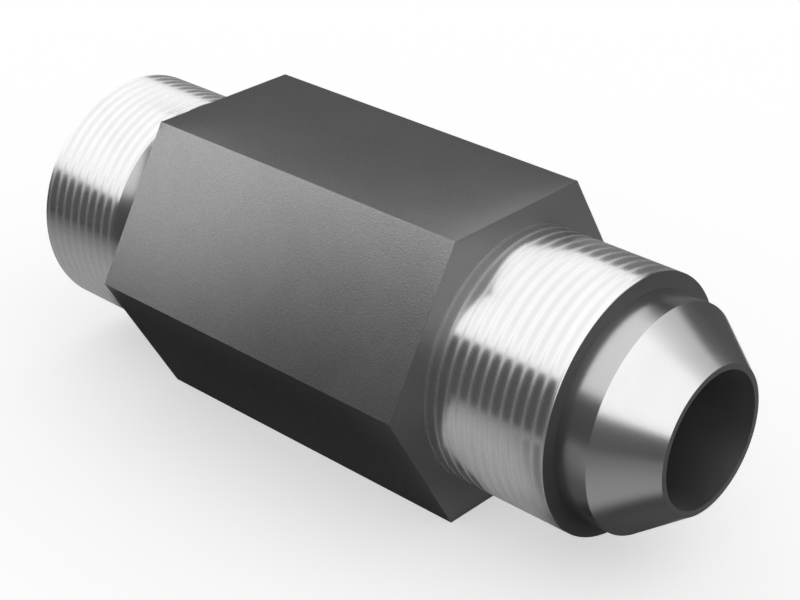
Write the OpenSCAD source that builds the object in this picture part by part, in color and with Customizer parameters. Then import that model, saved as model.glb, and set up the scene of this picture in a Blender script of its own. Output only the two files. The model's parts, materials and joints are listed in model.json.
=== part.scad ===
// Straight hydraulic adapter fitting, turned from one hexagonal bar: a long wrench hexagon
// with a 37 degree flare end on one side and a straight-thread port end on the other.
// Millimetres. X runs along the bore towards the flare nose and +Z is up. The origin lies
// on the bore's axis, in the plane of the hexagon's port-side face, which is the shoulder
// that seats on the port. The fitting lies on one flat of its hexagon.

/* [Wrench hexagon] */
// Width across the flats, a 7/8 inch wrench
hex_af = 22.225; // [20.6:0.005:30]
// Length of the hexagon along the bore
hex_len = 29.1; // [10:0.1:60]

/* [Both threads] */
// Diameter over the thread crests, 3/4 inch at both ends
thread_d = 19.05; // [17:0.05:20.5]

/* [Flare end] */
// Length of the thread from the hexagon to its flat end face
flare_thread_len = 10.3; // [6:0.1:20]
// Step from the thread crests down to the smooth pilot
pilot_step = 1.225; // [0.6:0.025:1.8]
// Length of the pilot between the thread and the cone
pilot_len = 2.55; // [1:0.05:6]
// Angle of the sealing cone to the bore's axis
nose_angle = 37; // [30:0.5:45]
// Width of the flat lip between the cone and the bore
lip_w = 0.45; // [0.2:0.05:1]

/* [Port end] */
// Length of the thread
port_thread_len = 8.3; // [5:0.1:20]
// Length of the relief between the hexagon and the thread
relief_len = 3; // [2.4:0.05:6]
// Depth of the relief below the thread crests
relief_depth = 1.175; // [0.6:0.025:1.5]
// Angle of the slope that runs from the relief up to the crests
relief_angle = 45; // [40:1:60]
// Radius of the relief's corner at the hexagon
relief_fillet = 0.4; // [0.1:0.05:0.6]
// Chamfer at the start of the thread
start_chamfer = 0.2; // [0.05:0.05:0.8]

/* [Bore] */
// Diameter of the through bore
bore_d = 9.9; // [5:0.1:11.5]
// Chamfer at the bore's mouth in the port end
mouth_chamfer = 0.4; // [0.1:0.05:0.8]

/* [Hidden] */
$fn = 144;
steel = [0.43, 0.43, 0.44];

crest_r = thread_d / 2;
pilot_r = crest_r - pilot_step;
relief_r = crest_r - relief_depth;
bore_r = bore_d / 2;
tip_r = bore_r + lip_w;

// Places along the bore, from the port end to the flare nose
port_end = -(relief_len + port_thread_len);
relief_end = -relief_len;
slope_foot = relief_end + relief_depth / tan(relief_angle);
flare_thread_end = hex_len + flare_thread_len;
cone_base = flare_thread_end + pilot_len;
nose_tip = cone_base + (pilot_r - tip_r) / tan(nose_angle);

// How far a cutter runs past the face that it breaks through
overrun = 1;

// Turns a half section, drawn as [radius, place along the bore], about the X axis
module turned()
    rotate([0, 90, 0]) rotate_extrude() children();

// Six-sided bar with flats facing up and down
module wrench_hex()
    rotate([0, 90, 0]) rotate([0, 0, 30])
        cylinder(d = hex_af / cos(30), h = hex_len, $fn = 6);

// Threaded stud, relief and the relief's rounded corner at the hexagon
module port_section() {
    polygon([
        [0, port_end],
        [crest_r - start_chamfer, port_end],
        [crest_r, port_end + start_chamfer],
        [crest_r, relief_end],
        [relief_r, slope_foot],
        [relief_r, hex_len / 2],
        [0, hex_len / 2]
    ]);
    difference() {
        translate([relief_r, -relief_fillet]) square(relief_fillet);
        translate([relief_r + relief_fillet, -relief_fillet]) circle(relief_fillet);
    }
}

// Threaded stud, pilot and sealing cone
module flare_section()
    polygon([
        [0, hex_len / 2],
        [crest_r, hex_len / 2],
        [crest_r, flare_thread_end],
        [pilot_r, flare_thread_end],
        [pilot_r, cone_base],
        [tip_r, nose_tip],
        [0, nose_tip]
    ]);

// Through bore with its chamfered mouth at the port end
module bore_section()
    polygon([
        [0, port_end - overrun],
        [bore_r + mouth_chamfer + overrun, port_end - overrun],
        [bore_r, port_end + mouth_chamfer],
        [bore_r, nose_tip + overrun],
        [0, nose_tip + overrun]
    ]);

module adapter_body()
    color(steel)
        difference() {
            union() {
                wrench_hex();
                turned() port_section();
                turned() flare_section();
            }
            turned() bore_section();
        }

adapter_body();
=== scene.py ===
# %% [markdown]
# # A straight hydraulic adapter in bright and drawn steel
# The fitting is one piece, turned from a hexagonal bar: a long wrench hexagon in the middle,
# a thread with a 37 degree sealing nose on one side and a plain threaded stud on the other.
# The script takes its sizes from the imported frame, builds one closed mesh with real helical
# threads, gives each kind of cut surface its own steel, and lights it as on a product table.

# %% Load the frame
import json
import math

import bmesh
import bpy
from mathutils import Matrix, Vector


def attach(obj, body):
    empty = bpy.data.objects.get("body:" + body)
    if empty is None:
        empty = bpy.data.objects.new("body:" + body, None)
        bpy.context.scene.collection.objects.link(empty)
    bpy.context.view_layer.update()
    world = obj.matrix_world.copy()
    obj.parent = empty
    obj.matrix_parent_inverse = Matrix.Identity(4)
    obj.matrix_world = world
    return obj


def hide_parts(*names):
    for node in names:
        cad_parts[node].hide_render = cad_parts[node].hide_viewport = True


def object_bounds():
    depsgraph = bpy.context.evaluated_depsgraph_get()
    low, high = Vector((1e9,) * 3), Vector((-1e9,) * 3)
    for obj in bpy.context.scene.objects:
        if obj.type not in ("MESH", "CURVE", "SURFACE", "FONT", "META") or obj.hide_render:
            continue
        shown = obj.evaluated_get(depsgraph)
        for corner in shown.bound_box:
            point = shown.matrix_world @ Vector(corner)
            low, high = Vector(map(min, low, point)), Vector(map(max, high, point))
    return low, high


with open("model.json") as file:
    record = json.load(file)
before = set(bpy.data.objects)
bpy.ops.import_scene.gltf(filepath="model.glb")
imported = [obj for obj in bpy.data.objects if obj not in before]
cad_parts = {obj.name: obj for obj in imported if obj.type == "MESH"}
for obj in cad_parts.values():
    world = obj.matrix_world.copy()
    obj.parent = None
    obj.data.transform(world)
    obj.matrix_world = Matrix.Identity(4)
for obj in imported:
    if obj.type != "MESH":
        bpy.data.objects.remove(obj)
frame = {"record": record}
cad_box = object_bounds()
mounts = {m["name"]: m for m in frame["record"]["mounts"]}
print("mounts", sorted(mounts))

# %% [markdown]
# ## Sizes
# A turned part is described by stations along its axis and the radius at each one. The crest
# radius, the bore and the length of each stretch come from the frame, so the dressed part stays
# on the solid. The few sizes that the frame doesn't name are those of the nose and the relief.
# Working in metres with a MM factor keeps the numbers readable.

# %% Stations along the bore
MM = 0.001
CREST_R = mounts["flare_thread"]["dims"]["r_mm"] * MM
BORE_R = mounts["through_bore"]["dims"]["r_mm"] * MM
HEX_LEN = 2 * mounts["upper_wrench_flat"]["pos_m"][0]
FLAT_R = mounts["upper_wrench_flat"]["pos_m"][2]
PORT_END = cad_box[0][0]
NOSE_TIP = cad_box[1][0]
FLARE_THREAD_END = HEX_LEN + mounts["flare_thread"]["dims"]["length_mm"] * MM

PILOT_STEP = 1.225 * MM
PILOT_R = CREST_R - PILOT_STEP
LIP_WIDTH = 0.45 * MM
TIP_R = BORE_R + LIP_WIDTH
NOSE_ANGLE = math.radians(37)
CONE_BASE = NOSE_TIP - (PILOT_R - TIP_R) / math.tan(NOSE_ANGLE)
print("cone base at", round(CONE_BASE / MM, 3), "mm, nose tip at", round(NOSE_TIP / MM, 3), "mm")

RELIEF_END = -3.0 * MM
RELIEF_DEPTH = 1.175 * MM
RELIEF_R = CREST_R - RELIEF_DEPTH
START_CHAMFER = 0.2 * MM
MOUTH_CHAMFER = 0.4 * MM
print("neck of the relief", round(2 * RELIEF_R / MM, 3), "mm in diameter")

# %% [markdown]
# ## Spokes
# Every ring of the mesh has one vertex on each spoke, so any two rings join with plain quads.
# Even two degree steps make the round parts smooth. The hexagon's six corners fall on spokes,
# and four extra spokes crowd round each corner to carry its tiny worn radius.

# %% Angles of the spokes
STEPS = 180
CORNER_EXTRAS = (-0.1, -0.033, 0.033, 0.1)
angles = [i * 360 / STEPS for i in range(STEPS)]
angles += [(corner + extra) % 360 for corner in range(0, 360, 60) for extra in CORNER_EXTRAS]
spokes = [math.radians(a) for a in sorted(angles)]
SPOKES = len(spokes)
print("spokes", SPOKES)

# %% [markdown]
# ## The mesh workshop
# A lathe part could be made by spinning an outline, but a spun outline can't carry a hexagon or
# a thread. So vertices, faces and the zone of each face are gathered in lists. A ring takes a
# place along the axis and either one radius or a function of the angle. Angle zero points to
# the viewer's side, at a corner of the hexagon, and a quarter turn points straight up.

# %% Rings and the bands between them
ZONES = ["bar_skin", "faced_end", "thread", "step_face", "pilot", "nose", "bore"]
verts = []
faces = []
face_zones = []
sharp_pairs = set()


def point(x, radius, angle):
    verts.append((x, -radius * math.cos(angle), radius * math.sin(angle)))
    return len(verts) - 1


def ring(x, radius):
    return [point(x, radius(a) if callable(radius) else radius, a) for a in spokes]


def add_face(corners, zone):
    """Adds a face without its doubled corners, so a pinched quad becomes a triangle."""
    kept = [v for i, v in enumerate(corners) if v != corners[i - 1]]
    if len(set(kept)) >= 3:
        faces.append(kept)
        face_zones.append(ZONES.index(zone))


def band(first, second, zone):
    for j in range(SPOKES):
        k = (j + 1) % SPOKES
        add_face([first[j], first[k], second[k], second[j]], zone)


def crease(row):
    for j in range(SPOKES):
        sharp_pairs.add(frozenset((row[j], row[(j + 1) % SPOKES])))


# %% [markdown]
# ## The hexagon's outline
# A drawn bar never has a knife edge. The picture shows crisp corners, so they get a radius of
# only 0.015 mm, enough to catch a thin light. In polar form a flat is its distance over the
# cosine of the angle, and near a corner the outline follows a small circle instead. That gives
# the same spokes to the hexagon and to the round parts, which a cut-out cylinder wouldn't.

# %% Radius of the hexagon at an angle
CORNER_R = 0.015 * MM
SIXTH = math.radians(60)


def from_corner(angle):
    """How far an angle is from the nearest corner of the hexagon."""
    return (angle + SIXTH / 2) % SIXTH - SIXTH / 2


def hex_radius(angle, inset=0.0):
    flat = FLAT_R - inset
    away = from_corner(angle)
    to_centre = (flat - CORNER_R) / math.cos(SIXTH / 2)
    offset = to_centre * math.sin(abs(away))
    if offset < CORNER_R * math.sin(SIXTH / 2):
        return to_centre * math.cos(away) + math.sqrt(CORNER_R ** 2 - offset ** 2)
    return flat / math.cos(SIXTH / 2 - abs(away))


print("corner to corner", round(2 * hex_radius(0) / MM, 3), "mm")

# %% [markdown]
# ## The threads
# Both threads are right-handed and fine, so the eye reads them as thin lines on a bright
# cylinder. The picture shows no jagged outline, and a groove two thousandths of a millimetre
# deep is enough to bend the light. FIRST_LINE is where the middle of a groove crosses angle
# zero on the flare thread, and the port thread continues the same count of turns.

# %% Groove profile
PITCH = 0.911 * MM
FIRST_LINE = HEX_LEN + 0.24 * MM
GROOVE_DEPTH = 0.002 * MM
GROOVE_HALF = 0.25


def groove(turns):
    """Depth below the crest, where a whole number of turns is the middle of the groove."""
    away = abs(turns - round(turns))
    if away >= GROOVE_HALF:
        return 0.0
    return GROOVE_DEPTH * (1 + math.cos(math.pi * away / GROOVE_HALF)) / 2


def thread_radius(x):
    return lambda angle: CREST_R - groove((x - FIRST_LINE) / PITCH + angle / (2 * math.pi))


print("pitch", PITCH / MM, "mm, middle of the groove at", round(thread_radius(FIRST_LINE)(0) / MM, 4))

# %% [markdown]
# ## Helical rows
# A ring-shaped groove would close on itself, but a thread climbs one pitch in each turn. The
# rows of vertices therefore follow the helix: each sits at a fixed phase of the groove, and
# after one turn a row meets the row one pitch further on. Rows that run past the end of the
# thread are held at its last ring, which cuts the helix off square as a lathe does.

# %% Rows that follow the helix
GROOVE_STEPS = 4
IN_GROOVE = [GROOVE_HALF * step / GROOVE_STEPS for step in range(-GROOVE_STEPS, GROOVE_STEPS + 1)]
ON_CREST = [0.37, 0.5]
PHASES = [-phase for phase in reversed(ON_CREST)] + IN_GROOVE + ON_CREST[:-1]
SNAP = 0.015 * MM


def cut_thread(first, x_first, second, x_second):
    """Fills the stretch between two rings with rows that follow the helix."""
    lowest = math.floor((x_first - FIRST_LINE) / PITCH)
    highest = math.ceil((x_second - FIRST_LINE) / PITCH) + 1
    marks = [turn + phase for turn in range(lowest, highest + 1) for phase in PHASES]
    columns = []
    for j, angle in enumerate(spokes):
        column = []
        for mark in marks:
            x = FIRST_LINE + PITCH * (mark - angle / (2 * math.pi))
            if x < x_first + SNAP:
                column.append(first[j])
            elif x > x_second - SNAP:
                column.append(second[j])
            else:
                column.append(point(x, CREST_R - groove(mark), angle))
        columns.append(column)
    per_turn = len(PHASES)
    columns.append([first[0]] * per_turn + columns[0][:-per_turn])
    for left, right in zip(columns, columns[1:]):
        for i in range(len(marks) - 1):
            add_face([left[i], left[i + 1], right[i + 1], right[i]], "thread")


print("rows in each turn", len(PHASES))

# %% [markdown]
# ## One walk round the section
# The rings are laid in the order that a lathe tool would trace them: out over the port end,
# along its thread, down into the relief, over the hexagon, along the second thread, down to
# the pilot, up the cone, over the lip and back through the bore. The last ring joins the
# first, so the mesh is closed. The helper lays plain rings and marks each one as a crease,
# because every plain ring of this part is a place where the surface changes direction.

# %% Stretches of plain rings
def stretch(stations, zone, start=None):
    """Bands between plain rings, given as (x, radius). Gives the first and the last ring."""
    rows = [start] if start else []
    rows += [ring(x, radius) for x, radius in stations]
    for before, after in zip(rows, rows[1:]):
        band(before, after, zone)
    for row in rows:
        crease(row)
    return rows[0], rows[-1]


# %% [markdown]
# ## The port end
# This stud screws into the port. Its flat face is turned square, the bore's mouth is chamfered,
# and a small chamfer at the rim lets the first turn of the thread find its way in.

# %% Port face and port thread
PORT_START = PORT_END + START_CHAMFER
mouth, port_rim = stretch(
    [(PORT_END, BORE_R + MOUTH_CHAMFER), (PORT_END, CREST_R - START_CHAMFER)], "faced_end")
_, port_start = stretch([(PORT_START, thread_radius(PORT_START))], "pilot", port_rim)
port_stop = ring(RELIEF_END, thread_radius(RELIEF_END))
cut_thread(port_start, PORT_START, port_stop, RELIEF_END)
print("port thread", round((RELIEF_END - PORT_START) / MM, 2), "mm long")

# %% [markdown]
# ## The relief
# Behind the port thread the tool needs room to run out, and the seal ring needs a seat. A 45
# degree slope leads down to the neck, and a rounded corner at the hexagon keeps cracks from
# starting there. The corner is a short loop of rings on a quarter circle.

# %% Slope, neck and rounded corner
FILLET = 0.4 * MM
FILLET_STEPS = 5
SLOPE_FOOT = RELIEF_END + CREST_R - RELIEF_R
_, neck = stretch([(SLOPE_FOOT, RELIEF_R), (-FILLET, RELIEF_R)], "pilot", port_stop)
for step in range(1, FILLET_STEPS + 1):
    turn = math.pi / 2 * step / FILLET_STEPS
    row = ring(-FILLET + FILLET * math.sin(turn), RELIEF_R + FILLET * (1 - math.cos(turn)))
    band(neck, row, "pilot")
    neck = row
print("neck", round((-FILLET - SLOPE_FOOT) / MM, 3), "mm long between slope and corner")

# %% [markdown]
# ## The hexagon
# The wrench grips the drawn flats, which keep the skin of the bar. Both ends are faced square,
# and a hair-thin bevel breaks their edges. A bevel modifier would break every edge of the part
# alike, so the bevels are rings of their own: an edge here is the hexagon drawn a little
# smaller. The long edges between the flats are marked as creases.

# %% Shoulder, flats and flare-side face
HEX_EDGE = 0.015 * MM
CORNER_SPAN = 0.35


def bevelled(angle):
    return hex_radius(angle, HEX_EDGE)


_, hex_port = stretch([(0, bevelled)], "faced_end", neck)
_, skin_start = stretch([(HEX_EDGE, hex_radius)], "bar_skin", hex_port)
_, skin_stop = stretch([(HEX_LEN - HEX_EDGE, hex_radius)], "bar_skin", skin_start)
_, hex_flare = stretch([(HEX_LEN, bevelled)], "step_face", skin_stop)
_, root = stretch([(HEX_LEN, thread_radius(HEX_LEN))], "faced_end", hex_flare)
for j, angle in enumerate(spokes):
    if abs(math.degrees(from_corner(angle))) < CORNER_SPAN:
        sharp_pairs.add(frozenset((skin_start[j], skin_stop[j])))
print("hexagon", round(HEX_LEN / MM, 2), "mm long")

# %% [markdown]
# ## The flare end
# A swivel nut runs on this thread and pulls a flared tube on to the cone, which seals metal on
# metal. Thread, pilot, cone, lip and bore have to lie on one axis, and rings about one axis
# can't do otherwise. The lip is flat and narrow, and the bore runs back to the port end.

# %% Second thread, pilot, cone, lip and bore
EDGE = 0.04 * MM
LIP_EDGE = 0.015 * MM
THREAD_STOP = FLARE_THREAD_END - EDGE
thread_stop = ring(THREAD_STOP, thread_radius(THREAD_STOP))
cut_thread(root, HEX_LEN, thread_stop, THREAD_STOP)
_, end_face = stretch([(FLARE_THREAD_END, CREST_R - EDGE)], "thread", thread_stop)
_, pilot_root = stretch([(FLARE_THREAD_END, PILOT_R)], "step_face", end_face)

_, cone_foot = stretch([(CONE_BASE, PILOT_R)], "pilot", pilot_root)
CONE_TOP_R = TIP_R + LIP_EDGE * math.tan(NOSE_ANGLE)
_, cone_top = stretch([(NOSE_TIP - LIP_EDGE, CONE_TOP_R)], "nose", cone_foot)
_, lip_out = stretch([(NOSE_TIP, TIP_R - LIP_EDGE)], "step_face", cone_top)
_, lip_in = stretch([(NOSE_TIP, BORE_R + LIP_EDGE)], "step_face", lip_out)
_, bore_rim = stretch([(NOSE_TIP - LIP_EDGE, BORE_R)], "step_face", lip_in)
_, bore_far = stretch([(PORT_END + MOUTH_CHAMFER, BORE_R)], "bore", bore_rim)
band(bore_far, mouth, "bore")
print("vertices", len(verts), "faces", len(faces))

# %% [markdown]
# ## From lists to a closed body
# The lists become one mesh object. It rides on the part's only body and stands in for the
# plain solid of the frame. A closed mesh has exactly two faces on every edge, so the cell counts
# the edges that haven't, and it turns all faces outwards. Smooth shading makes the turned
# surfaces round, and the creases marked above keep the machined edges crisp.

# %% Make the body
mesh = bpy.data.meshes.new("adapter_body_finished")
mesh.from_pydata(verts, [], faces)
mesh.validate()
for edge in mesh.edges:
    edge.use_edge_sharp = frozenset(edge.vertices) in sharp_pairs
mesh.polygons.foreach_set("material_index", face_zones)
mesh.polygons.foreach_set("use_smooth", [True] * len(mesh.polygons))

work = bmesh.new()
work.from_mesh(mesh)
bmesh.ops.recalc_face_normals(work, faces=work.faces)
open_edges = sum(1 for edge in work.edges if len(edge.link_faces) != 2)
print("edges without two faces", open_edges, "volume mm3", round(work.calc_volume() / MM ** 3, 1))
work.to_mesh(mesh)
work.free()

body = bpy.data.objects.new("adapter_body_finished", mesh)
bpy.context.collection.objects.link(body)
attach(body, "root")
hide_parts("adapter_body")

# %% [markdown]
# ## Building shader nodes
# A steel is a metallic Principled shader whose colour, roughness and bump change over the
# surface. Each effect that does this is a node group, so that all the steels share it with
# their own values. A few helpers keep the node code short: one adds a node and wires its
# inputs, one does arithmetic, one makes soft ramps, and one starts a group with named inputs
# and outputs.

# %% Node helpers
def add(tree, kind, inputs=None, **settings):
    """Adds a node. Each input is a plain value or the output socket that feeds it."""
    made = tree.nodes.new(kind)
    for name, value in settings.items():
        setattr(made, name, value)
    for name, value in (inputs or {}).items():
        if isinstance(value, bpy.types.NodeSocket):
            tree.links.new(value, made.inputs[name])
        else:
            made.inputs[name].default_value = value
    return made


def math_node(tree, operation, *values):
    return add(tree, "ShaderNodeMath", dict(enumerate(values)), operation=operation).outputs[0]


def between(tree, value, low, high, to_low=0.0, to_high=1.0):
    """Smooth ramp of a value from low..high on to to_low..to_high, held at both ends."""
    ranges = {"Value": value, "From Min": low, "From Max": high, "To Min": to_low, "To Max": to_high}
    return add(tree, "ShaderNodeMapRange", ranges, interpolation_type="SMOOTHSTEP").outputs["Result"]


def object_place(tree):
    """Place on the object in its own metres, the same for every group and material."""
    return add(tree, "ShaderNodeTexCoord").outputs["Object"]


def split(tree, place):
    return add(tree, "ShaderNodeSeparateXYZ", {0: place}).outputs


def start_group(name, inputs, outputs):
    tree = bpy.data.node_groups.new(name, "ShaderNodeTree")
    for title, default in inputs.items():
        socket = tree.interface.new_socket(name=title, in_out="INPUT", socket_type="NodeSocketFloat")
        socket.default_value = default
    for title in outputs:
        tree.interface.new_socket(name=title, in_out="OUTPUT", socket_type="NodeSocketFloat")
    return tree, add(tree, "NodeGroupInput"), add(tree, "NodeGroupOutput")


# %% [markdown]
# ## Turning marks
# A lathe tool leaves fine rings as it feeds along the work: round a shaft they follow one
# another along the axis, and on a faced end they lie one inside the other. The sum of the place
# along the axis and the distance from it changes in both cases, and along the cone too. So one
# noise in one dimension, read along that sum, draws the rings on every turned surface.

# %% Group of the turning marks
def distance_from_axis(tree, place):
    """Radius about the bore's axis, which is the X axis of the part."""
    across = add(tree, "ShaderNodeVectorMath", {0: place, 1: (0, 1, 1)}, operation="MULTIPLY")
    return add(tree, "ShaderNodeVectorMath", {0: across.outputs[0]}, operation="LENGTH").outputs["Value"]


turning, given, result = start_group("turning_marks", {"Marks per mm": 8.0, "Blur": 0.5}, ["Height"])
place = object_place(turning)
tool_path = math_node(turning, "ADD", split(turning, place)["X"], distance_from_axis(turning, place))
in_mm = math_node(turning, "DIVIDE", tool_path, MM)
marks = add(turning, "ShaderNodeTexNoise", {
    "W": in_mm, "Scale": given.outputs["Marks per mm"], "Detail": 3.0,
    "Roughness": given.outputs["Blur"]}, noise_dimensions="1D")
turning.links.new(marks.outputs["Fac"], result.inputs["Height"])
print("group", turning.name)

# %% [markdown]
# ## Satin grain
# The flats keep the skin of the drawn bar. Up close it is a fine sparkle of tiny dents, just
# under a tenth of a millimetre across and slightly longer along the bar, the way it went
# through the die. Noise hardly ever leaves the range from 0.3 to 0.7, so that range is spread
# over the whole mask.

# %% Group of the satin grain
NOISE_LOW, NOISE_HIGH = 0.3, 0.7
grain, given, result = start_group(
    "satin_grain", {"Size mm": 0.085, "Stretch": 1.15}, ["Height", "Speckle"])
squeeze = add(grain, "ShaderNodeCombineXYZ", {
    "X": math_node(grain, "DIVIDE", 1.0, given.outputs["Stretch"]), "Y": 1.0, "Z": 1.0})
drawn = add(grain, "ShaderNodeVectorMath", {
    0: object_place(grain), 1: squeeze.outputs[0]}, operation="MULTIPLY")
per_metre = math_node(grain, "DIVIDE", 1 / MM, given.outputs["Size mm"])
dents = add(grain, "ShaderNodeTexNoise", {
    "Vector": drawn.outputs[0], "Scale": per_metre, "Detail": 2.0, "Roughness": 0.6})
grain.links.new(dents.outputs["Fac"], result.inputs["Height"])
speckle = between(grain, dents.outputs["Fac"], NOISE_LOW, NOISE_HIGH)
grain.links.new(speckle, result.inputs["Speckle"])
print("group", grain.name)

# %% [markdown]
# ## Handling haze
# Steel that has been picked up and wiped is never evenly bright. A soft cloud a few
# millimetres across shifts the roughness and the colour a little, too little to read as a
# stain.

# %% Group of the handling haze
haze, given, result = start_group("handling_haze", {"Size mm": 5.0}, ["Cloud"])
per_metre = math_node(haze, "DIVIDE", 1 / MM, given.outputs["Size mm"])
cloud = add(haze, "ShaderNodeTexNoise", {
    "Vector": object_place(haze), "Scale": per_metre, "Detail": 4.0, "Roughness": 0.55,
    "Distortion": 0.4})
haze.links.new(between(haze, cloud.outputs["Fac"], NOISE_LOW, NOISE_HIGH), result.inputs["Cloud"])
print("group", haze.name)

# %% [markdown]
# ## Rubbed edges
# Corners rub against the bin and the wrench first, so they are a shade brighter. The bevel
# node gives the normal that a rounded edge would have. Where it leans away from the true
# normal there is an edge, and the dot product of the two measures how far it leans.

# %% Group of the rubbed edges
ALIKE_ON_FLATS, ALIKE_AT_EDGES = 0.99, 0.85
rubbed, given, result = start_group("rubbed_edges", {"Width mm": 0.12}, ["Edge"])
width = math_node(rubbed, "MULTIPLY", given.outputs["Width mm"], MM)
rounded = add(rubbed, "ShaderNodeBevel", {"Radius": width}, samples=4)
true_normal = add(rubbed, "ShaderNodeNewGeometry").outputs["Normal"]
alike = add(rubbed, "ShaderNodeVectorMath", {
    0: rounded.outputs[0], 1: true_normal}, operation="DOT_PRODUCT")
worn = between(rubbed, alike.outputs["Value"], ALIKE_ON_FLATS, ALIKE_AT_EDGES)
rubbed.links.new(worn, result.inputs["Edge"])
print("group", rubbed.name)

# %% [markdown]
# ## Thread lines
# The threading tool leaves the floor of the groove duller than the crest. Each turn of the
# thread also shows as a thin pale line with a soft halo that fades towards the crest: this
# paleness is a painted highlight, the light that the flanks of a groove catch.
# The mask counts turns exactly as the rows of vertices do, so it stays on the groove and
# doesn't depend on the mesh's facets. A ping-pong of half a turn gives the distance to the
# nearest whole turn.

# %% Group of the thread lines
HALF_TURN = 0.5
LINE_CORE, LINE_HALO = 0.2, 0.46
CORE_SHARE = 0.5
thread_lines, given, result = start_group(
    "thread_lines", {"Pitch mm": 1.0, "First line mm": 0.0}, ["Line"])
parts = split(thread_lines, object_place(thread_lines))
along_mm = math_node(thread_lines, "DIVIDE", parts["X"], MM)
from_first = math_node(thread_lines, "SUBTRACT", along_mm, given.outputs["First line mm"])
pitches = math_node(thread_lines, "DIVIDE", from_first, given.outputs["Pitch mm"])
towards_viewer = math_node(thread_lines, "MULTIPLY", parts["Y"], -1.0)
round_axis = math_node(thread_lines, "ARCTAN2", parts["Z"], towards_viewer)
turned = math_node(thread_lines, "DIVIDE", round_axis, 2 * math.pi)
turns = math_node(thread_lines, "ADD", pitches, turned)
from_line = math_node(thread_lines, "PINGPONG", turns, HALF_TURN)
core = between(thread_lines, from_line, LINE_CORE, 0.0, 0.0, CORE_SHARE)
halo = between(thread_lines, from_line, LINE_HALO, 0.0, 0.0, 1 - CORE_SHARE)
thread_lines.links.new(math_node(thread_lines, "ADD", core, halo), result.inputs["Line"])
print("group", thread_lines.name)

# %% [markdown]
# ## Marks one on another
# A turned surface has the tool's rings and, finer still, the grain of the steel. The bump node
# bends the normal by one of them and takes the real depth in millimetres as its distance. It
# also takes a normal to start from, so two of them in a row lay the grain over the rings. Real
# dents in the mesh would need millions of faces for the same look.

# %% Stacked bumps
def stack_bumps(tree, layers):
    """Bump nodes one on another, from (depth in mm, height) pairs. Gives the last normal."""
    normal = None
    for depth_mm, height in layers:
        bump = add(tree, "ShaderNodeBump", {"Distance": depth_mm * MM, "Height": height})
        if normal:
            tree.links.new(normal, bump.inputs["Normal"])
        normal = bump.outputs["Normal"]
    return normal


# %% [markdown]
# ## One recipe for all the steels
# All surfaces are cut from the same bar. The way they were finished sets their roughness and
# marks, and their mean shades differ further as painted light and shade. The recipe takes the
# mean shade and roughness, how deep the turning marks and the grain are, how much the grain
# sparkles, and how pale (a painted highlight) and how dull the grooves of a thread are. Each
# steel could be made by hand, but with one recipe a change to the haze or the edges reaches
# every surface at once.

# %% The recipe
HAZE_TONE = 0.02
HAZE_DULL = 0.006
EDGE_TONE = 1.05
FULLY_PALE = 0.5


def steel(name, shade, roughness, marks_mm=0.0, marks_per_mm=8.0, grain_mm=0.0, speckle=0.0,
          groove_highlight_and_roughness=None):
    """A finish of the bar. A thread also takes the painted highlight (paleness) and the roughness of its
    grooves.
    """
    material = bpy.data.materials.new(name)
    material.use_nodes = True
    tree = material.node_tree
    shader = tree.nodes["Principled BSDF"]
    shader.inputs["Metallic"].default_value = 1.0

    cloud = add(tree, "ShaderNodeGroup", node_tree=haze).outputs["Cloud"]
    edge = add(tree, "ShaderNodeGroup", node_tree=rubbed).outputs["Edge"]
    tone = between(tree, cloud, 0.0, 1.0, 1 - HAZE_TONE, 1 + HAZE_TONE)
    tone = math_node(tree, "MULTIPLY", tone, between(tree, edge, 0.0, 1.0, 1.0, EDGE_TONE))
    dull = between(tree, cloud, 0.0, 1.0, roughness - HAZE_DULL, roughness + HAZE_DULL)

    layers = []
    if marks_mm:
        rings = add(tree, "ShaderNodeGroup", {"Marks per mm": marks_per_mm}, node_tree=turning)
        layers.append((marks_mm, rings.outputs["Height"]))
    if grain_mm:
        dents = add(tree, "ShaderNodeGroup", node_tree=grain)
        layers.append((grain_mm, dents.outputs["Height"]))
    if speckle:
        sparkle = between(tree, dents.outputs["Speckle"], 0.0, 1.0, 1 - speckle, 1 + speckle)
        tone = math_node(tree, "MULTIPLY", tone, sparkle)
    if groove_highlight_and_roughness:
        pale, groove_roughness = groove_highlight_and_roughness
        winding = {"Pitch mm": PITCH / MM, "First line mm": FIRST_LINE / MM}
        line = add(tree, "ShaderNodeGroup", winding, node_tree=thread_lines).outputs["Line"]
        # Painted highlight: the colour is made paler along the thread's lines.
        tone = math_node(tree, "MULTIPLY", tone, between(tree, line, 0.0, FULLY_PALE, 1.0, pale))
        duller = math_node(tree, "MULTIPLY", line, groove_roughness - roughness)
        dull = math_node(tree, "ADD", dull, duller)

    tint = add(tree, "ShaderNodeVectorMath", {0: shade, 1: tone}, operation="MULTIPLY")
    tree.links.new(tint.outputs[0], shader.inputs["Base Color"])
    tree.links.new(dull, shader.inputs["Roughness"])
    tree.links.new(stack_bumps(tree, layers), shader.inputs["Normal"])
    return material
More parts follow.
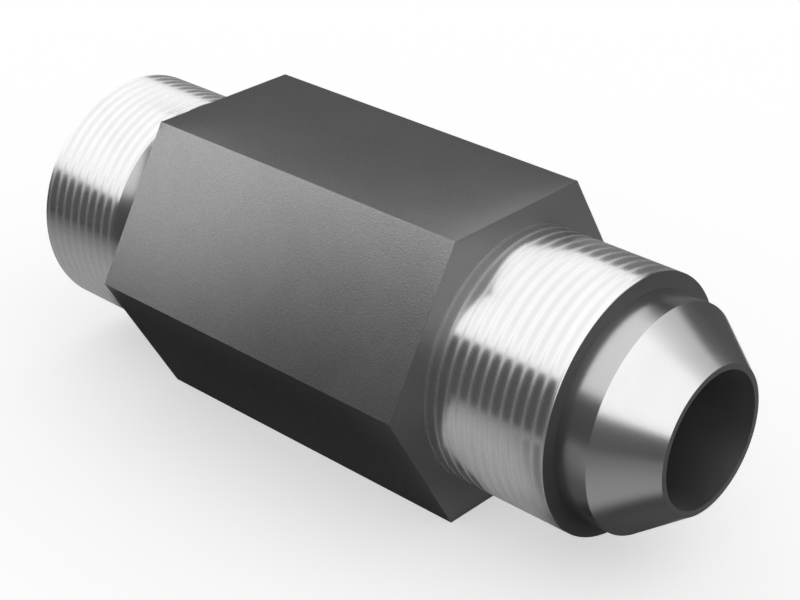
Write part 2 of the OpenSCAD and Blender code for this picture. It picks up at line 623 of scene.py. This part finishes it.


# %% [markdown]
# ## The steels
# The drawn flats are satin, the faced ends dull from the facing tool, and threads and sealing
# cone polished, since a nut and a flare have to slide and seal there. Pilot and relief are plain
# turned surfaces, and the drilled bore is duller, and shaded by its own depth. The shades are
# lit and shaded copies of one steel: painted shade makes the flats mid grey, the faced ends
# darker and the small faces of the flare end, at the foot of the pilot and on the lip, the
# darkest. Threads and cone are painted bright, and pilot and relief a shade below them.

# %% Mix the steels
# The spread of these shades is painted light and shade: flats and faces darker, threads and nose
# brighter.
STEELS = {
    "bar_skin": steel("drawn_flats", (0.44, 0.44, 0.445), 0.29, grain_mm=0.0125, speckle=0.11),
    "faced_end": steel("faced_ends", (0.275, 0.275, 0.278), 0.55, marks_mm=0.0014, marks_per_mm=6.0),
    "thread": steel("thread_crests", (0.87, 0.87, 0.87), 0.16, marks_mm=0.0003, grain_mm=0.0002,
                    groove_highlight_and_roughness=(1.149, 0.36)),
    "step_face": steel("thread_end_face", (0.18, 0.18, 0.182), 0.65, marks_mm=0.0006),
    "pilot": steel("turned_pilot", (0.6, 0.6, 0.6), 0.24, marks_mm=0.0006, grain_mm=0.0003),
    "nose": steel("polished_nose", (0.9, 0.9, 0.9), 0.21, marks_mm=0.0004, grain_mm=0.002),
    "bore": steel("drilled_bore", (0.52, 0.52, 0.525), 0.4, marks_mm=0.0012, marks_per_mm=4.0),
}
for zone in ZONES:
    mesh.materials.append(STEELS[zone])
print("steels", [material.name for material in mesh.materials])

# %% [markdown]
# ## Matt paint
# The surroundings of the fitting are matt: a paint without shine mirrors nothing and takes soft
# shadows. Some of them also give a little light of their own, but only to the rays that look at
# them, from the camera or by way of the metal. Scattered light doesn't count it, so it never
# brightens the object.

# %% Paint, and the rays that look
LOOKING_RAYS = ("Is Camera Ray", "Is Glossy Ray", "Is Transmission Ray")


def matt(name, shade, glow=0.0):
    """A paint or cloth without any shine, with a faint white glow of its own."""
    material = bpy.data.materials.new(name)
    material.use_nodes = True
    paint = material.node_tree.nodes["Principled BSDF"].inputs
    paint["Base Color"].default_value = (shade, shade, shade, 1)
    paint["Roughness"].default_value = 1.0
    paint["Specular IOR Level"].default_value = 0.0
    paint["Emission Color"].default_value = (1, 1, 1, 1)
    paint["Emission Strength"].default_value = glow
    return material


def feed(material, socket, value):
    """Wires a value into one socket of the material's shader."""
    tree = material.node_tree
    tree.links.new(value, tree.nodes["Principled BSDF"].inputs[socket])


def seen_share(tree):
    """One for the rays that look at a surface or at the room, and nothing for scattered light."""
    path = add(tree, "ShaderNodeLightPath").outputs
    total = path[LOOKING_RAYS[0]]
    for ray in LOOKING_RAYS[1:]:
        total = math_node(tree, "MAXIMUM", total, path[ray])
    return total


# %% [markdown]
# ## The table
# The fitting lies on a plain pale table top, a disc so wide that its rim stays out of sight.
# It takes the soft shadow, and its own light is just enough to lift the open table to white, so
# the shadow is all that is left of it. A larger light would do that too, but it would bleach
# the metal.

# %% Table top
TABLE_RADIUS = 3.0
TABLE_PAINT = 0.86
ROOM_LIGHT = 0.6
floor_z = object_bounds()[0][2]
bpy.ops.mesh.primitive_circle_add(
    vertices=96, radius=TABLE_RADIUS, fill_type="NGON", location=(0, 0, floor_z))
table = bpy.context.object
table.name = "table_top"
table_paint = matt("table_paint", TABLE_PAINT)
tree = table_paint.node_tree
lift_to_white = math_node(tree, "MULTIPLY", seen_share(tree), 1 - TABLE_PAINT * ROOM_LIGHT)
feed(table_paint, "Emission Strength", lift_to_white)
table.data.materials.append(table_paint)
print("table at", round(floor_z / MM, 3), "mm")

# %% [markdown]
# ## The white room
# The room is white wherever it is seen, directly or in the metal, and lights the table evenly
# a little below that. Light from all sides makes the soft contact shadow, which lamps would
# draw with a direction that the picture doesn't have.

# %% Room
room = bpy.data.worlds.new("white_room")
bpy.context.scene.world = room
room.use_nodes = True
room.cycles.sampling_method = "NONE"
tree = room.node_tree
air = tree.nodes["Background"]
air.inputs["Color"].default_value = (1, 1, 1, 1)
strength = between(tree, seen_share(tree), 0.0, 1.0, ROOM_LIGHT, 1.0)
tree.links.new(strength, air.inputs["Strength"])
print("room light", ROOM_LIGHT)

# %% [markdown]
# ## Dark flags
# Bright metal in an all-white room looks like paper. Photographers stand dark cards, called
# flags, just outside the picture, and the metal mirrors them as the dark bands that give it its
# shape. Each flag here is a flat card, cut to an outline, that stands beside or close over the
# fitting. Flags are seen in reflections only, so they shade nothing and may come very near.

# %% Cards that only the metal sees
def mirrored_sheet(name, corners, material):
    """One flat polygon that shows in reflections only."""
    sheet = bpy.data.meshes.new(name)
    sheet.from_pydata(corners, [], [list(range(len(corners)))])
    sheet.materials.append(material)
    obj = bpy.data.objects.new(name, sheet)
    bpy.context.collection.objects.link(obj)
    obj.visible_camera = False
    obj.visible_diffuse = False
    obj.visible_transmission = False
    obj.visible_volume_scatter = False
    obj.visible_shadow = False


def along_bore(y, outline):
    """Corners of a card that stands along the bore at y, from an outline of (x, z) points."""
    return [(x, y, z) for x, z in outline]


def across_bore(x, outline):
    """Corners of a card that stands square to the bore at x, from an outline of (y, z) points."""
    return [(x, y, z) for y, z in outline]


def flag(name, outline, glow=0.08, ramp=None):
    """A black card with its corners in millimetres and a faint glow, which makes it grey.

    A ramp (axis, from, to, far_glow) makes the glow change between two places on the axis.
    """
    fabric = matt(name + "_cloth", 0.0, glow)
    if ramp:
        axis, begin, end, far_glow = ramp
        tree = fabric.node_tree
        place_on_axis = split(tree, object_place(tree))[axis]
        changing = between(tree, place_on_axis, begin * MM, end * MM, glow, far_glow)
        feed(fabric, "Emission Strength", changing)
    mirrored_sheet(name, [Vector(corner) * MM for corner in outline], fabric)


# %% [markdown]
# ## Flags beside the fitting
# Two long cards stand on the table, one on the viewer's side and one behind. Their upper edges
# draw the border between dark and bright on the threads, the cone and the flats, and each step
# in an edge answers to a step in the picture's bands.

# %% Front and back flags
TABLE_LEVEL = floor_z / MM
FRONT_WALL, BACK_WALL = -50, 40
flag("front_flag", along_bore(FRONT_WALL, [
    (-160, TABLE_LEVEL), (140, TABLE_LEVEL), (140, 10), (91, 14), (5, 31.5), (-24, 31.5), (-29, 13),
    (-40, 15), (-50, 17.5), (-60, 21), (-160, 40)]))
flag("back_flag", along_bore(BACK_WALL, [
    (-130, TABLE_LEVEL), (50, TABLE_LEVEL), (62, 35), (4, 30), (-28, 22), (-50, 21), (-130, 12)]),
    glow=0.22, ramp=("X", 0, 40, 0.07))
print("flags stand at", FRONT_WALL, "and", BACK_WALL, "mm from the axis")

# %% [markdown]
# ## Flags close to the fitting
# The top flat mirrors the room behind the fitting, and an even white there would hide its grey.
# A card close behind the flat and a smaller one across its port end give it its calm tone. A
# third one, which gets paler upwards, puts the soft border on the pilot. Only cards this near
# can reach one face and leave its neighbours alone.

# %% Top, end and pilot flags
CLOSE_GLOW = 0.17
flag("top_flag", along_bore(9, [
    (-5, 11.3), (31, 11.3), (17.5, 22.5), (7.5, 30), (-28, 30), (-18, 22.5), (-6.5, 13)]),
    glow=CLOSE_GLOW)
flag("end_flag", across_bore(-1.2, [(-8, 11.2), (9.1, 11.2), (9.1, 23), (7, 23)]), glow=CLOSE_GLOW)
flag("pilot_flag", along_bore(4, [
    (37.6, 10), (42, 10), (42, 14), (37, 20), (33.2, 20), (36.2, 14.5)]),
    glow=0.05, ramp=("Z", 10, 22, 0.85))
print("close flags glow", CLOSE_GLOW)

# %% [markdown]
# ## A veil behind the flare end
# The nose mirrors what is high up behind the fitting, and in the picture that isn't quite
# white. A tall sheet there is grey at the bottom and reaches the white of the room at its top,
# so it has no visible upper edge.

# %% Veil
VEIL_TOP = 200
flag("back_veil", along_bore(BACK_WALL + 1, [(30, 25), (300, 25), (300, VEIL_TOP), (30, VEIL_TOP)]),
     glow=0.33, ramp=("Z", -30, VEIL_TOP, 1.0))
print("veil reaches", VEIL_TOP, "mm up")

# %% [markdown]
# ## A mat for the undersides
# The undersides of the metal mirror the table. In the picture they are a calm grey that gets
# darker away from the fitting and towards the port end, so a mat with these shades lies there,
# for the reflections only. It is matt and has a faint glow, like the flags.

# %% Open mat
MAT_MIDDLE = (12 * MM, 25 * MM)
MAT_NEAR, MAT_FAR = 0.9, 0.09
FADE_FROM, FADE_TO = 15 * MM, 100 * MM
PORT_SIDE, FLARE_SIDE = -20 * MM, 25 * MM
PORT_SIDE_TONE = 0.78
# A sheet with painted shade, standing in for the table and its shade as the metal mirrors them.
painted_mat = matt("painted_shade_paint", MAT_NEAR)
tree = painted_mat.node_tree
spot = object_place(tree)
spot_parts = split(tree, spot)
from_middle = add(tree, "ShaderNodeVectorMath", {
    0: spot, 1: (*MAT_MIDDLE, floor_z)}, operation="DISTANCE").outputs["Value"]
# Painted reflection of the table: lightest near the fitting, darker further off and towards the port
# end.
faded = between(tree, from_middle, FADE_FROM, FADE_TO, MAT_NEAR, MAT_FAR)
endwise = between(tree, spot_parts["X"], PORT_SIDE, FLARE_SIDE, PORT_SIDE_TONE, 1.0)
painted_table_reflection = math_node(tree, "MULTIPLY", faded, endwise)
print("mat fades from", MAT_NEAR, "to", MAT_FAR)

# %% [markdown]
# ## Shade under the fitting
# Hardly any light arrives close under a thing that lies on a table. The lowest flats and the
# pilot mirror these dark places, whose borders show as dark bands. Real shade would change with
# every card, so each dark place is a soft-edged strip, painted on the mat. Two strips run
# askew, because the faces that mirror them look at the table from an angle.

# %% Strips on the mat
def soft_strip(tree, place, x, y, soft):
    """One inside a strip given in millimetres, falling softly to nothing round its edges."""
    parts = split(tree, place)
    masks = []
    for axis, (low, high) in (("X", x), ("Y", y)):
        masks.append(between(tree, parts[axis], (low - soft) * MM, (low + soft) * MM))
        masks.append(between(tree, parts[axis], (high + soft) * MM, (high - soft) * MM))
    inside = masks[0]
    for mask in masks[1:]:
        inside = math_node(tree, "MULTIPLY", inside, mask)
    return inside


def slanted(tree, place, slant):
    """The same place with its x drawn back by slant times y, for strips that run askew."""
    parts = split(tree, place)
    draw = math_node(tree, "MULTIPLY", parts["Y"], slant)
    drawn_back = math_node(tree, "SUBTRACT", parts["X"], draw)
    moved = {"X": drawn_back, "Y": parts["Y"], "Z": parts["Z"]}
    return add(tree, "ShaderNodeCombineXYZ", moved).outputs[0]


END_SLANT, END_LINE = 0.85, 34.9
PILOT_SLANT = 0.6
end_askew = slanted(tree, spot, END_SLANT)
pilot_askew = slanted(tree, spot, PILOT_SLANT)
below_hexagon = soft_strip(tree, spot, x=(-11, 29.2), y=(-17, 13), soft=0.8)
up_to_end = soft_strip(tree, end_askew, x=(-30, END_LINE), y=(-20, 20), soft=0.4)
under_hexagon = math_node(tree, "MULTIPLY", below_hexagon, up_to_end)
under_nose = soft_strip(tree, spot, x=(35.5, 62), y=(-9, 3), soft=2.5)
under_pilot = soft_strip(tree, pilot_askew, x=(41.1, 45), y=(-36, -5), soft=1.0)
before_nose = soft_strip(tree, spot, x=(33.5, 62), y=(-32, -6), soft=3)
print("hexagon's shade is cut off at", END_LINE, "mm")

# %% [markdown]
# ## Lay the mat
# The deepest shade lies under the hexagon and the nose. It is a little paler from the foot of
# the lower front flat backwards, and the strips in front of the pilot and the nose are paler
# still. They darken the open mat by multiplying, so they can overlap without a seam.

# %% Shades together, and the sheet itself
LIGHT_LEFT, LIGHT_AT_FOOT = 0.09, 0.18
FOOT_FROM, FOOT_TO = -11 * MM, -6.4 * MM
PILOT_LIGHT, NOSE_LIGHT = 0.35, 0.72
MAT_GLOW = 0.07
MAT_RADIUS = 300 * MM
MAT_GAP = 0.02 * MM
least_light = between(tree, spot_parts["Y"], FOOT_FROM, FOOT_TO, LIGHT_LEFT, LIGHT_AT_FOOT)
deepest = math_node(tree, "MAXIMUM", under_hexagon, under_nose)
light = between(tree, deepest, 0.0, 1.0, 1.0, least_light)
for strip, light_left in ((under_pilot, PILOT_LIGHT), (before_nose, NOSE_LIGHT)):
    light = math_node(tree, "MULTIPLY", light, between(tree, strip, 0.0, 1.0, 1.0, light_left))
# Painted shade on the painted table reflection; the glow below follows the same tone.
painted_shade_tone = math_node(tree, "MULTIPLY", painted_table_reflection, light)
feed(painted_mat, "Base Color", painted_shade_tone)
feed(painted_mat, "Emission Strength", math_node(tree, "MULTIPLY", painted_shade_tone, MAT_GLOW))
rim = [(MAT_RADIUS * math.cos(a), MAT_RADIUS * math.sin(a), floor_z + MAT_GAP) for a in spokes]
# The sheet of painted shade, seen in reflections only.
mirrored_sheet("painted_shade_sheet", rim, painted_mat)
print("mat lies", MAT_GAP / MM, "mm over the table")

# %% [markdown]
# ## The camera
# The picture was matched with a long lens from quite near: the hexagon's corners fix the
# direction, and the ratio of the near thread to the far one fixes the distance. The camera
# looks at AIM, a point close to the axis and to the middle of the part.

# %% Camera
AZIMUTH, ELEVATION, DISTANCE = 42.82, 28.50, 0.1421
AIM = Vector((0.018055, 0.000185, 0.000098))
FOCAL_LENGTH = 87.01
az = math.radians(AZIMUTH)
el = math.radians(ELEVATION)
toward = Vector((math.sin(az) * math.cos(el), -math.cos(az) * math.cos(el), math.sin(el)))
lens = bpy.data.cameras.new("camera")
lens.lens = FOCAL_LENGTH
lens.sensor_width = 36
lens.clip_start = 0.01
camera = bpy.data.objects.new("camera", lens)
camera.location = AIM + DISTANCE * toward
camera.rotation_euler = toward.to_track_quat("Z", "Y").to_euler()
bpy.context.collection.objects.link(camera)
bpy.context.scene.camera = camera
bpy.context.scene.view_settings.view_transform = "Standard"
print("camera at", [round(v, 5) for v in camera.location])
